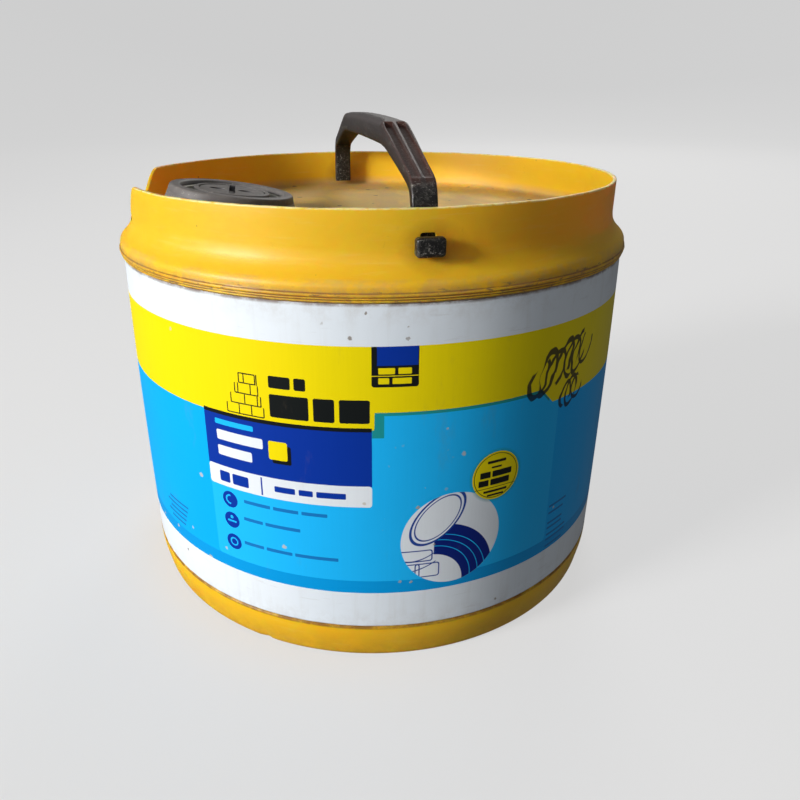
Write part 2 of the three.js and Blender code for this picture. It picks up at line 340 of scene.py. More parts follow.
lights = {
    "key": {"from": (-3.3, -1.2, 1.2), "to": (0, 0, 0.11), "size": 1.1, "power": 19.5, "spread": 60,
            "colour": (1.0, 0.988, 0.972)},
    "front": {"from": (-0.9, -3.2, 1.5), "to": (0, 0, 0.11), "size": 1.6, "power": 12.0, "spread": 180,
              "colour": (0.95, 0.975, 1.0)},
    "back": {"from": (1.3, 2.9, 2.3), "to": (0, 0, 0.11), "size": 1.6, "power": 42.0, "spread": 180,
             "colour": (1.0, 0.98, 0.95)},
    "sky": 0.115,
    "skyColour": (0.96, 0.975, 1.0, 1.0),
}


def addLights():
    for name in ("key", "front", "back"):
        values = lights[name]
        data = bpy.data.lights.new(name + "Light", "AREA")
        data.shape = "DISK"
        data.size = values["size"]
        data.energy = values["power"]
        data.spread = math.radians(values["spread"])
        data.color = values["colour"]
        lamp = placed(name + "Light", data)
        lamp.location = values["from"]
        aim = Vector(values["to"]) - Vector(values["from"])
        lamp.rotation_euler = aim.to_track_quat("-Z", "Y").to_euler()
    world = bpy.data.worlds.new("studio")
    world.use_nodes = True
    sky = world.node_tree.nodes["Background"].inputs
    sky["Color"].default_value = lights["skyColour"]
    sky["Strength"].default_value = lights["sky"]
    bpy.context.scene.world = world
    bpy.context.scene.view_settings.view_transform = "Standard"


studio = {
    "reach": 6.0,
    "bend": 2.5,
    "height": 6.0,
    "paint": (0.2, 0.2, 0.2, 1.0),
    "glow": 0.59,  # an even light of its own, as a lit table has
}


def addStage():  # floor that curves up into a wall all round
    flat = studio["reach"] - studio["bend"]
    profile = [(0.0, 0.0), (flat / mm, 0.0)]
    steps = 12
    for k in range(1, steps + 1):
        angle = math.radians(90 * k / steps)
        profile.append(((flat + studio["bend"] * math.sin(angle)) / mm,
                        studio["bend"] * (1 - math.cos(angle)) / mm))
    profile.append((studio["reach"] / mm, studio["height"] / mm))
    floor = turn("studioFloor", profile, segments=96)
    material = bpy.data.materials.new("paleFloor")
    material.use_nodes = True
    joinShader(material.node_tree.nodes["Principled BSDF"], {
        "Base Color": studio["paint"], "Roughness": 0.9,
        "Emission Color": (1.0, 1.0, 1.0, 1.0), "Emission Strength": studio["glow"]})
    floor.data.materials.append(material)
    floor.visible_diffuse = False  # keeps the pail's shaded side from washing out
    floor.visible_glossy = False


addCamera()
addLights()
addStage()

print("shapes of the body")

body = {
    "radius": 136.0,
    "belly": 0.75,  # how much the tube narrows at its ends
    "bottom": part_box("body_tube")[0].z / mm,
    "top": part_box("body_tube")[1].z / mm,
    "labelLow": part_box("label_wrap")[0].z / mm,
    "labelHigh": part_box("label_wrap")[1].z / mm,
    "middle": 95.0,
    "wall": 1.8,
    "seat": 0.7,  # how deep the label's recess is
    "gap": 0.3,  # between the label's edges and the recess
    "dent": 0.22,
}


def tubeRadius(z):
    return body["radius"] - body["belly"] * ((z - body["middle"]) / 90.0) ** 2


def dented(r, z, angle):  # slow waves that a filled plastic tube has
    spot = Vector((math.cos(angle) * 1.6, math.sin(angle) * 1.6, z / 70.0))
    return r - body["dent"] * (0.5 + 0.5 * noise.noise(spot)), z


def makeTube():
    low, high = body["bottom"], body["top"]
    seatLow, seatHigh = body["labelLow"] - body["gap"], body["labelHigh"] + body["gap"]
    steps = 14
    outer = [(tubeRadius(low), low + 0.5), (tubeRadius(seatLow), seatLow)]
    for k in range(steps + 1):
        z = seatLow + (seatHigh - seatLow) * k / steps
        outer.append((tubeRadius(z) - body["seat"], z))
    outer += [(tubeRadius(seatHigh), seatHigh), (tubeRadius(high), high - 0.4),
              (tubeRadius(high) - 0.4, high)]
    inner = [(tubeRadius(z) - 1.0 - body["wall"], z) for z in (high, body["middle"], low)]
    return turn("tubeShell", [(tubeRadius(low) - 0.5, low), *outer, *inner], 256, True, dented)


def makeLabel():
    low, high = body["labelLow"] - 0.28, body["labelHigh"] + 0.28
    steps = 16
    heights = [low + (high - low) * k / steps for k in range(steps + 1)]
    outer = [(tubeRadius(z), z) for z in heights]
    inner = [(tubeRadius(z) - 0.4, z) for z in reversed(heights)]
    return turn("printedLabel", [*outer, *inner], 256, True, dented)


ends = {
    "foot": 132.5,
    "lip": 137.0,
    "deck": 196.3,
    "rim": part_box("top_end")[1].z / mm,
    "collar": 129.0,
    "collarWall": 1.8,
    "waist": 198.0,
    "ragged": 0.5,
    "dip": (20.0, 46.0),  # from the middle of the dip to where it starts and stops rising
    "dipDepth": 14.5,
    "slot": (6.6, 9.6),
    "slotMiddle": 204.3,
}


def makeBottomEnd():
    low = body["bottom"] - 0.1
    tube = tubeRadius(low)
    skirt = tube - 3.1
    profile = roundOff([
        (0, 6.0), (60, 6.0, 0), (62, 5.2, 0.8), (66, 5.2, 0.8), (68, 6.0, 0.8), (119.5, 6.0, 1.5),
        (122.5, 0.0, 1.6), (ends["foot"], 0.0, 3.4), (tube - 0.2, 14.5, 9.0), (tube, low - 0.8, 0.4),
        (tube - 0.8, low, 0.3), (skirt, low, 0), (skirt, 33.0, 0.5), (skirt - 2.0, 33.0, 0.5),
        (skirt - 2.0, 15.0, 1.0), (skirt - 8.0, 8.4, 2.0), (0, 8.4),
    ])
    nick = math.radians(-124.0)  # where the foot's edge is knocked in

    def knocked(r, z, angle):
        away = abs((angle - nick + math.pi) % (2 * math.pi) - math.pi)
        bite = max(0.0, 1 - away / 0.035) * max(0.0, 1 - z / 9.0) if r > 124 else 0.0
        return r - 1.6 * bite * bite, z

    return turn("bottomEnd", profile, 320, False, knocked)


def rimHeight(angle):  # dip beside the closure, and a rim that was trimmed by hand
    along = abs((angle + 2 * math.pi) % (2 * math.pi) - math.pi) * ends["collar"]
    dip = ends["dipDepth"] * (1 - smoothstep(along, *ends["dip"]))
    spot = Vector((math.cos(angle) * 9, math.sin(angle) * 9, 0.3))
    fine = Vector((math.cos(angle) * 55, math.sin(angle) * 55, 4.0))
    chips = ends["ragged"] * (0.5 + 0.5 * noise.noise(spot)) + 0.18 * max(0.0, noise.noise(fine))
    return ends["rim"] - dip - chips


def collarShape(r, z, angle):
    if z > ends["waist"] + 2.5 and r > ends["collar"] - 4:
        share = (z - ends["waist"]) / (ends["rim"] - ends["waist"])
        z = ends["waist"] + share * (rimHeight(angle) - ends["waist"])
        r += 0.25 * share * noise.noise(Vector((math.cos(angle) * 3, math.sin(angle) * 3, 7.0)))
    elif z < 187.3 and r > 135.2:  # weld beads, melted and uneven
        spot = Vector((math.cos(angle) * 40, math.sin(angle) * 40, z * 1.3))
        r -= 0.22 * (0.5 + 0.5 * noise.noise(spot))
    return r, z


closure = {
    "start": Vector((-78.7, 0, 195.7)) * mm,
    "tilt": math.radians(8.0),
    "neck": 30.0,
    "bore": 27.4,
}
closureFrame = Matrix.Translation(closure["start"]) @ Matrix.Rotation(closure["tilt"], 4, "Y")


def makeTopEnd():
    low = body["top"] + 0.1
    skirt = tubeRadius(low) - 3.1
    inner = ends["collar"] - ends["collarWall"]
    lip, deck, rim = ends["lip"], ends["deck"], ends["rim"]
    profile = roundOff([
        (0, deck - 2.2), (inner - 4, deck - 2.2, 1.0), (skirt - 2, deck - 9.2, 1.0),
        (skirt - 2, 172, 0.4), (skirt, 172, 0.4), (skirt, low, 0), (135.3, low, 0.2),
        (135.9, low + 0.5, 0.3),
        (136.4, low + 1.0, 0.3), (136.0, low + 1.5, 0.2), (136.8, low + 2.1, 0.3),
        (136.4, low + 2.6, 0.2),
        (lip, low + 3.1, 0.3), (lip, low + 3.9, 0.4), (136.3, low + 4.6, 0.5), (136.1, 190.6, 1.8),
        (132.0, ends["waist"] - 3.4, 2.0), (ends["collar"] + 0.7, ends["waist"] + 0.3, 3.0),
        (ends["collar"], ends["waist"] + 4.5, 1.5), (ends["collar"], 206, 0), (ends["collar"], 213, 0),
        (ends["collar"], rim, 0.5), (inner, rim, 0.5), (inner, 213, 0), (inner, 206, 0),
        (inner, deck + 4.0, 0), (inner - 0.5, deck + 1.2, 1.2), (inner - 3.5, deck, 2.0), (108, deck, 0),
        (104, deck - 0.5, 0.5), (40, deck - 0.9, 0), (0, deck - 1.0),
    ])
    top = turn("topEnd", profile, 384, False, collarShape)
    boss = turn("bossTool", roundOff([
        (0, -1.5), (32.6, -1.5, 0), (32.6, 5.7, 0.8), (closure["neck"], 5.7, 0.3),
        (closure["neck"], 11.0, 0.6), (0, 11.0),
    ]), 128)
    combine(top, moveMesh(boss, closureFrame), "UNION")
    bore = plug("boreTool", closure["bore"], -30, 30, 128)
    combine(top, moveMesh(bore, closureFrame), "DIFFERENCE")
    width, height = ends["slot"]
    for side in (-1, 1):
        hole = roundedBlock("slotTool", (width, 14, height), (0, side * 128, ends["slotMiddle"]), 1.2)
        combine(top, hole, "DIFFERENCE")
    smooth(top, 32)
    return top


tubeShell = makeTube()
printedLabel = makeLabel()
bottomEnd = makeBottomEnd()
topEnd = makeTopEnd()

print("handle")

handle = {
    "gripWidth": 12.6,
    "legWidth": 10.6,
    "axis": 204.2,
    "channelDepth": 1.0,
    "channelDeeper": 0.6,  # added towards the grip
    "pocketDepth": 1.6,
    "head": (12.1, 5.2, 8.0),
    "headMiddle": 132.8,
    "shank": 2.6,
}


def handleStations():  # points on the strap's outer and inner side, from the leg's end to the top
    outer = [(123.8, 199.3), (123.8, 203), (123.8, 209), (123.6, 215), (123.2, 219.2), (122.2, 223),
             (120.6, 226), (118.2, 228.4), (115, 229.9), (111, 231.2), (104, 233.4), (97, 235.6),
             (90, 237.8), (83, 240.1), (76, 242.3), (70, 244.2), (66.5, 245.3), (63.6, 246.2),
             (60.5, 247.05), (56, 247.5), (48, 247.8), (36, 248.05), (22, 248.25), (8, 248.35)]
    inner = [(119.6, 199.3), (119.6, 203), (119.6, 209), (119.4, 214.4), (119.0, 217.4), (118.2, 220),
             (117.0, 222), (115.2, 223.7), (112.4, 224.9), (108.8, 226.0), (102, 227.9), (95, 229.7),
             (88, 231.5), (81.5, 233.2), (74.5, 234.9), (68.5, 236.0), (64.5, 236.4), (61.2, 236.6),
             (57.8, 236.7), (53, 236.8), (45.5, 236.9), (35, 237.0), (21.5, 237.1), (8, 237.15)]
    pairs = list(zip(outer, inner))
    far = [((-a[0], a[1]), (-b[0], b[1])) for a, b in pairs]
    return [*pairs, ((0, 248.4), (0, 237.2)), *reversed(far)]


def strapSection(width, thick, corner, depth):  # (across, down) points, with two channels on top
    half = width / 2
    points = []
    edges = [(-0.425 * width, -0.06 * width), (0.06 * width, 0.425 * width)]
    soft = min(0.3, depth * 0.5)
    for k in range(5):
        turnBy = math.radians(180 - 90 * k / 4)
        points.append((-half + corner + corner * math.cos(turnBy), corner - corner * math.sin(turnBy)))
    for left, right in edges:
        left = max(left, -half + corner * 0.9) if depth < 0.01 else left
        right = min(right, half - corner * 0.9) if depth < 0.01 else right
        points += [(left - soft, 0), (left, soft), (left + 0.1, depth - soft),
                   (left + soft + 0.1, depth), (right - soft - 0.1, depth),
                   (right - 0.1, depth - soft), (right, soft), (right + soft, 0)]
    for k in range(5):
        turnBy = math.radians(90 - 90 * k / 4)
        points.append((half - corner + corner * math.cos(turnBy), corner - corner * math.sin(turnBy)))
    lowCorner = min(corner, 1.6)
    for side in (1, -1):
        for k in range(4):
            turnBy = math.radians(90 * k / 3) if side > 0 else math.radians(90 - 90 * k / 3)
            across = half - lowCorner + lowCorner * math.cos(turnBy)
            points.append((side * across, thick - lowCorner + lowCorner * math.sin(turnBy)))
    return points


def refine(pairs, step=1.6):  # adds stations so that they're never further apart than a step
    made = []
    for (a, b), (c, d) in zip(pairs, pairs[1:]):
        count = max(1, math.ceil((Vector(c) - Vector(a)).length / step))
        for k in range(count):
            t = k / count
            made.append((Vector(a).lerp(Vector(c), t), Vector(b).lerp(Vector(d), t)))
    made.append(tuple(Vector(p) for p in pairs[-1]))
    return made


def makeHandle():
    verts = []
    faces = []
    rows = []
    for outer, inner in refine(handleStations()):
        y = abs(outer.x)
        width = handle["gripWidth"] + (handle["legWidth"] - handle["gripWidth"]) * smoothstep(y, 62, 119)
        down = inner - outer
        thick = down.length
        down.normalize()
        corner = 0.9 + 2.6 * smoothstep(66 - y, 0, 12)
        opened = smoothstep(118.0 - y, 0, 2.5) * smoothstep(y - 62.0, 0, 1.2)
        depth = (handle["channelDepth"] + handle["channelDeeper"] * smoothstep(95 - y, 0, 30)) * opened
        row = []
        for across, deep in strapSection(width, thick, corner, depth):
            worn = 0.12 * noise.noise(Vector((across * 0.2, outer.x * 0.12, outer.y * 0.12)))
            here = outer + down * (deep + (worn if deep < 0.01 else 0.0))
            row.append(len(verts))
            verts.append((across * mm, here.x * mm, min(here.y, 248.38) * mm))
        rows.append(row)
    for low, high in zip(rows, rows[1:]):
        count = len(low)
        for k in range(count):
            n = (k + 1) % count
            faces.append([low[k], low[n], high[n], high[k]])
    faces.append(list(rows[0]))
    faces.append(list(reversed(rows[-1])))
    strap = meshObject("carryHandle", verts, faces, 30)
    fixNormals(strap)
    for end in (-1, 1):
        for side in (-1, 1):
            pocket = roundedBlock("pocketTool", (4.2, 6.0, handle["pocketDepth"]), (0, 0, 0), 0.5, 2)
            lean = Matrix.Rotation(math.radians(-17.7) * end, 4, "X")
            spot = Matrix.Translation(Vector((side * 3.05, end * 63.2, 243.6)) * mm)
            combine(strap, moveMesh(pocket, spot @ lean), "DIFFERENCE")
        shank = plug("shankTool", handle["shank"], 0, 11.5, 40)
        moveMesh(shank, Matrix.Rotation(math.radians(-90 * end), 4, "X"))
        moveMesh(shank, Matrix.Translation(Vector((0, end * 120.4, handle["axis"])) * mm))
        combine(strap, shank, "UNION")
        sizes = handle["head"]
        head = roundedBlock("headTool", sizes, (0, end * handle["headMiddle"], handle["axis"]), 1.7, 5)
        combine(strap, head, "UNION")
    smooth(strap, 32)
    return strap


def fixNormals(thing):
    skin = bmesh.new()
    skin.from_mesh(thing.data)
    bmesh.ops.recalc_face_normals(skin, faces=skin.faces[:])
    skin.to_mesh(thing.data)
    skin.free()


carryHandle = makeHandle()

print("closure")

closureSizes = {
    "ringTop": 16.0,
    "capRadius": 20.3,
    "capTop": 15.4,
    "pocket": 17.6,
    "pocketFloor": 12.2,
    "tabHinge": (2.6, 14.0),
    "thread": 2.5,
}


def turnedInClosure(name, profile, segments=144, ring=False, sharpAngle=35):
    return moveMesh(turn(name, profile, segments, ring, None, sharpAngle), closureFrame)


def makeClosureRing():
    return turnedInClosure("closureRing", roundOff([
        (34.6, 6.0, 0.2), (35.0, 6.5, 0.2), (35.0, 8.2, 0.5), (34.6, 9.2, 0.2), (34.55, 9.5, 0.1),
        (34.3, 9.6, 0.1), (33.75, 11.8, 0.1), (33.5, 11.9, 0.1), (33.3, 13.2, 1.0),
        (32.6, 15.6, 1.2), (30.9, closureSizes["ringTop"], 0.8), (28.4, closureSizes["ringTop"], 0.5),
        (27.3, 15.4, 0.4), (26.8, 14.6, 0.4),
        (26.3, 13.7, 0.2), (30.3, 13.7, 0.1), (30.3, 6.0, 0.1),
    ], 3), 160, True)


def makeNeckGasket():
    return turnedInClosure("neckGasket", roundOff([
        (27.8, 11.3, 0.2), (29.7, 11.3, 0.2), (29.7, 12.1, 0.2), (27.8, 12.1, 0.2),
    ], 2), 96, True)


def makeBellowsParts():  # the outer leg stays with the neck; on the real spout the inner leg is drawn out with the nozzle, but here it is joined to no body
    outer = [(29.7, 12.45, 0.2), (29.7, 13.3, 0.3), (24.8, 13.3, 0.5), (25.0, 10, 0.5), (24.7, 6, 0.6),
             (25.0, 2, 0.6), (24.7, -3, 0.6), (25.0, -8, 0.4), (24.9, -8.8, 0.2), (24.2, -9.75, 0.3),
             (24.2, -9.9, 0), (25.2, -9.5, 0.6), (26.0, -8, 0.6), (25.8, -3, 0.6), (26.0, 2, 0.6),
             (25.8, 6, 0.6), (26.0, 11.4, 0.5), (26.4, 12.45, 0.4)]
    inner = [(23.4, -8.0, 0.4), (23.6, -8.6, 0.2), (24.2, -9.4, 0.2), (24.2, -9.85, 0.2),
             (23.2, -9.5, 0.5), (22.4, -8.0, 0.6), (22.6, -4.6, 0.6), (22.4, -1.5, 0.6),
             (22.4, 2.4, 0.2), (23.4, 2.4, 0.2),
             (23.4, -1.0, 0.6), (23.6, -4.6, 0.6)]
    outerLeg = turnedInClosure("bellowsOuterLeg", roundOff(outer, 3), 144, True)
    innerLeg = turnedInClosure("bellowsInnerLeg", splitSteps(roundOff(inner, 3), 0.5), 144, True)
    return outerLeg, innerLeg


def splitSteps(profile, step):  # adds points to a closed outline so that no side is longer than a step
    made = []
    for a, b in zip(profile, [*profile[1:], profile[0]]):
        count = max(1, math.ceil((Vector(b) - Vector(a)).length / step))
        made += [tuple(Vector(a).lerp(Vector(b), k / count)) for k in range(count)]
    return made


def makeNozzle():
    profile = [(15.4, -3.0, 0.2), (21.9, -3.0, 0.2), (22.1, -2.4, 0.2), (22.1, 0.3, 0.3),
               (17.4, 0.9, 0.5)]
    for turnNumber in range(3):
        z = 1.9 + turnNumber * closureSizes["thread"]
        for radius, rise in ((17.2, 0), (18.0, 0.45), (18.0, 0.75), (17.2, 1.2)):
            profile.append((radius, z + rise, 0.15))
    profile += [(17.2, 9.4, 0.3), (15.4, 9.4, 0.4), (15.4, 5.0, 0)]
    return turnedInClosure("spoutNozzle", roundOff(profile, 3), 144, True)


def makeTearSeal():
    return turnedInClosure("tearSeal", roundOff([
        (0, 3.0), (13.4, 3.0, 0), (13.6, 3.25, 0.1), (13.9, 3.25, 0.1), (14.1, 3.0, 0.1),
        (15.1, 3.0, 0.1),
        (15.1, 3.8, 0.1), (9.4, 3.8, 0.3), (9.4, 5.2, 0.35), (7.6, 5.2, 0.35), (7.6, 3.8, 0.3), (0, 3.8),
    ], 3), 96)


def makeCapSeal():
    return turnedInClosure("capSeal", roundOff([
        (0, 9.75), (15.0, 9.75, 0.1), (15.2, 9.9, 0.1), (17.0, 9.9, 0.1), (17.2, 9.72, 0.1),
        (17.9, 9.72, 0.1), (17.9, 10.5, 0.1), (0, 10.5),
    ], 3), 96)


def makeCap():
    wall = closureSizes["capRadius"]
    top = closureSizes["capTop"]
    pocket = closureSizes["pocket"]
    floor = closureSizes["pocketFloor"]
    profile = [(0, 10.8), (18.3, 10.8, 0.3)]
    for turnNumber in range(3):
        z = 8.6 - turnNumber * closureSizes["thread"]
        profile += [(18.35, z, 0), (18.3, z - 0.4, 0)]
    profile += [(18.3, 1.8, 0.3), (wall - 0.3, 1.8, 0.3), (wall - 0.3, 13.6, 0.2), (wall, 14.0, 0.2),
                (wall, top - 0.6, 0.5), (wall - 0.7, top, 0.4), (pocket + 0.1, top, 0.4),
                (pocket, top - 0.6, 0.2), (pocket, floor, 0.4), (0, floor)]
    knurls = 60

    def gripped(r, z, angle):  # fine upright ribs round the skirt
        if r > wall - 0.5 and 2.2 < z < 13.4:
            r -= 0.22 * (0.5 + 0.5 * math.cos(knurls * angle))
        return r, z

    cap = turn("spoutCap", roundOff(profile, 3), 480, False, gripped)
    for side in (-1, 1):
        hole = plug("holeTool", 1.1, -19.3, 19.3, 24)
        core = plug("coreTool", 2, -17, 17, 24)
        combine(hole, core, "DIFFERENCE")
        moveMesh(hole, Matrix.Rotation(math.radians(90), 4, "X"))
        hinge = closureSizes["tabHinge"]
        combine(cap, moveMesh(hole, Matrix.Translation(Vector((side * hinge[0], 0, hinge[1])) * mm)),
                "DIFFERENCE")
    smooth(cap, 35)
    return moveMesh(cap, closureFrame)


def makePlate(name, outline, low, high):  # flat piece from an outline, all in millimetres
    plate = bmesh.new()
    face = plate.faces.new([plate.verts.new((x * mm, y * mm, low * mm)) for x, y in outline])
    grown = bmesh.ops.extrude_face_region(plate, geom=[face])
    lifted = [v for v in grown["geom"] if isinstance(v, bmesh.types.BMVert)]
    bmesh.ops.translate(plate, vec=(0, 0, (high - low) * mm), verts=lifted)
    bmesh.ops.recalc_face_normals(plate, faces=plate.faces[:])
    return shapeObject(name, plate)


tab = {
    "outer": 17.1,
    "inner": 1.6,
    "hole": (7.6, 4.4, 3.2),  # middle, and half sizes along and across
    "thick": 2.2,
    "pin": (0.8, 18.9),
}


def makeTab(side, name):  # a D with a finger hole, and a pin at each end of its straight bar
    hingeX, hingeZ = closureSizes["tabHinge"]
    start = math.acos(tab["inner"] / tab["outer"])
    turns = [-start + 2 * start * k / 56 for k in range(57)]
    outline = [(tab["outer"] * math.cos(a), tab["outer"] * math.sin(a)) for a in turns]
    piece = makePlate(name, outline, hingeZ - tab["thick"] / 2, hingeZ + tab["thick"] / 2)
    middle, along, across = tab["hole"]
    circle = [2 * math.pi * k / 40 for k in range(40)]
    finger = [(middle + along * math.cos(a), across * math.sin(a)) for a in circle]
    combine(piece, makePlate("fingerTool", finger, 10, 18), "DIFFERENCE")
    softenEdges(piece, 0.4, 3, 50)
    radius, reach = tab["pin"]
    pin = plug("pinTool", radius, -reach, reach, 24)
    moveMesh(pin, Matrix.Rotation(math.radians(90), 4, "X"))
    combine(piece, moveMesh(pin, Matrix.Translation(Vector((hingeX, 0, hingeZ)) * mm)), "UNION")
    if side < 0:
        moveMesh(piece, Matrix.Rotation(math.pi, 4, "Z"))
    smooth(piece, 35)
    return moveMesh(piece, closureFrame)


closureRing = makeClosureRing()
neckGasket = makeNeckGasket()
bellowsOuterLeg, bellowsInnerLeg = makeBellowsParts()
spoutNozzle = makeNozzle()
tearSeal = makeTearSeal()
capSeal = makeCapSeal()
spoutCap = makeCap()
tabLeft = makeTab(-1, "pullTabLeft")
tabRight = makeTab(1, "pullTabRight")

print("printed label")

printInks = {
    "yellow": ink(244, 222, 4),
    "cyan": ink(2, 176, 255),
    "light": ink(28, 186, 255),
    "strip": ink(2, 154, 226),
    "teal": ink(30, 148, 150),
    "navy": ink(6, 52, 158),
    "white": ink(232, 238, 244),
    "black": ink(20, 24, 24),
    "line": ink(24, 64, 150),
    "deep": ink(8, 34, 122),
    "faint": ink(22, 118, 190),
}


class Artwork:  # flat shapes in millimetres round the tube and up it
    def __init__(self, around, up, colour):
        self.around = around
        self.up = up
        self.colour = colour
        self.soft = 0.16

    def lay(self, mask, over):
        self.colour = mixColour(mask, self.colour, over)

    def box(self, left, right, low, high, corner=0.0):
        across = abs(self.around - (left + right) / 2) - ((right - left) / 2 - corner)
        upward = abs(self.up - (low + high) / 2) - ((high - low) / 2 - corner)
        if corner <= 0:
            return across.most(upward).under(0, self.soft)
        outX, outY = across.most(0.0), upward.most(0.0)
        return self.length(outX, outY).under(corner, self.soft)

    def length(self, a, b):
        square = a * a + b * b
        return square.maths("SQRT", square)

    def reach(self, around, up, squash=1.0, lean=0.0):  # distance from a point; oval when squashed
        dx, dy = self.around - around, self.up - up
        if lean:
            turned = math.radians(lean)
            cos, sin = math.cos(turned), math.sin(turned)
            dx, dy = dx * cos + dy * sin, dy * cos - dx * sin
        return self.length(dx, dy * squash)

    def disc(self, around, up, radius):
        return self.reach(around, up).under(radius, self.soft)

    def ring(self, around, up, radius, width, squash=1.0, lean=0.0):
        return abs(self.reach(around, up, squash, lean) - radius).under(width / 2, self.soft)

    def bars(self, over, low, high, spans, corner=0.0):  # a row of plain bars, joined into one mask
        self.lay(together(self.box(left, right, low, high, corner) for left, right in spans), over)

    def outline(self, left, right, low, high, corner, line):  # outline of a box
        hole = self.box(left + line, right - line, low + line, high - line, corner - 0.4)
        return self.box(left, right, low, high, corner).least(1 - hole)


layout = {  # (left, right, low, high, corner) unless a note says otherwise
    "middle": (-104.7, 71.0, 48.4, 140, 2.4),
    "strip": (-400, 600, 40, 48.4),
    "bandEdge": 127.4,
    "bandStep": (-22.5, 66.0, 8.1, 8.2),  # start, end, rise, length of the slanted end
    "dark": (-104.9, -23.6, 99.6, 126.4),
    "darkTop": (-104.9, -23.6, 126.0, 128.3),
    "pale": (-104.9, -23.6, 89.0, 99.8, 1.5),
    "signs": (-93.8, (82.2, 70.7, 58.2), 4.4),  # middle, heights, radius
    "picture": (13.8, 68.9, 24.5),  # middle, height, radius
    "sticker": (34.7, 98.1, 12.4),
}

rowsOfBars = [  # ink, low, high, corner, spans; plain bars where words would stand
    ("navy", 89.6, 99.0, 0.0, [(-75.4, -74.6)]),
    ("navy", 91.4, 97.0, 0.8, [(-98.5, -92.5), (-91.0, -82.0)]),
    ("navy", 92.8, 95.8, 0.5, [(-68.5, -58.5), (-56.8, -50.2), (-48.6, -35.2)]),
    ("light", 121.4, 124.0, 0.5, [(-98.5, -77.5)]),
    ("white", 113.6, 118.6, 0.8, [(-98.0, -73.0)]),
    ("white", 105.6, 110.6, 0.8, [(-98.0, -79.0)]),
    ("black", 107.6, 116.8, 1.0, [(-68.6, -59.4)]),
    ("yellow", 109.4, 118.6, 1.0, [(-70.2, -61.2)]),
    ("black", 130.4, 141.2, 0.9, [(-68.4, -50.6), (-48.6, -39.4), (-37.4, -24.4)]),
    ("black", 144.0, 149.6, 0.9, [(-68.4, -58.4), (-56.8, -51.6)]),
    ("faint", 82.6, 84.4, 0.3, [(-85.5, -71.5), (-70, -57.5), (-56, -43.9)]),
    ("faint", 72.9, 74.7, 0.3, [(-86.4, -76), (-74.6, -57)]),
    ("faint", 58.9, 60.7, 0.3, [(-87.4, -76.4), (-75, -61.6), (-60.2, -39.4)]),
]


def paintFront(art):
    light, teal = printInks["light"], printInks["teal"]
    art.lay(art.box(*layout["middle"]), light)
    art.lay(art.box(*layout["strip"]), printInks["strip"])
    # yellow band with its step and slanted end, and the thin shadow under it
    start, end, rise, length = layout["bandStep"]
    step = art.around.above(start, 0.2) * ((end - art.around) * 0.9).clamped().least(1.0)
    slant = ((end - art.around) / length).clamped()
    edge = art.up - (layout["bandEdge"] + rise * step.least(slant))
    art.lay(edge.above(-1.5, 0.2) * art.box(start, end - 2.5, 124, 140), teal)
    art.lay(art.box(-23.5, -18.4, 123.6, 135.6), teal)
    art.lay(edge.above(0, 0.2), printInks["yellow"])
    art.lay(art.box(*layout["darkTop"]), printInks["black"])
    art.lay(art.box(*layout["dark"]), printInks["navy"])
    art.lay(art.box(*layout["pale"]).least(art.up.under(layout["pale"][3], 0.2)), printInks["white"])
    for name, low, high, corner, spans in rowsOfBars:
        art.bars(printInks[name], low, high, spans, corner)
    paintWall(art)
    # little round signs: an open ring, a dot over a bar, a closed ring
    middle, (first, second, third), radius = layout["signs"]
    for up in (first, second, third):
        art.lay(art.disc(middle, up, radius), printInks["navy"])
    art.lay(art.ring(middle, first, 2.2, 0.9).least(art.around.under(middle + 0.4, 0.2)), light)
    art.lay(art.box(middle - 2.6, middle + 2.6, second - 1.1, second - 0.1, 0.3), light)
    art.lay(art.disc(middle, second + 1.7, 0.9), light)
    art.lay(art.ring(middle, third, 2.0, 0.8), light)
    # faint blocks at the sides
    for low in (51, 54, 57, 60, 63):
        span = (-150 + (low % 2) * 3, -132 + (low - 51) * 0.4)
        art.bars(printInks["faint"], low, low + 1.2, [span], 0.2)
    for low in (43, 47, 50, 54, 57, 63, 67):
        art.bars(printInks["faint"], low, low + 1.2, [(72.5, 85.5 + (low % 3) * 2.2)], 0.2)


def paintWall(art):  # outline of a stack of bricks
    line = 0.55
    left, right, low, course = -90.5, -71.0, 129.0, 5.0
    masks = []
    for row in range(4):
        base = low + row * course
        inset = 2.4 * row
        shape = art.box(left + inset, right - inset * 0.5, base, base + course, 0.6)
        top = base + course - (line if row == 3 else 0)
        hole = art.box(left + inset + line, right - inset * 0.5 - line, base + line, top, 0.3)
        joint = left + 6.5 + (row % 2) * 3.2
        seam = art.box(joint, joint + line, base, base + course)
        second = art.box(joint + 6.4, joint + 6.4 + line, base, base + course)
        masks.append(shape.least(1 - hole).most(seam.most(second)))
    art.lay(together(masks), printInks["black"])


def paintTicket(art):  # small plain tag that hangs from the band's top edge
    art.lay(art.box(-23.7, -4.0, 147.1, 170, 1.2), printInks["black"])
    art.lay(art.box(-21.4, -4.4, 156.6, 170), printInks["navy"])
    art.bars(printInks["yellow"], 152.9, 155.6, [(-20.9, -14.0), (-12.6, -7.0)], 0.4)
    art.bars(printInks["yellow"], 148.5, 151.2, [(-20.9, -16.4), (-15.0, -7.0)], 0.4)
    art.bars(printInks["yellow"], 151.9, 152.25, [(-23.7, -4.0)])


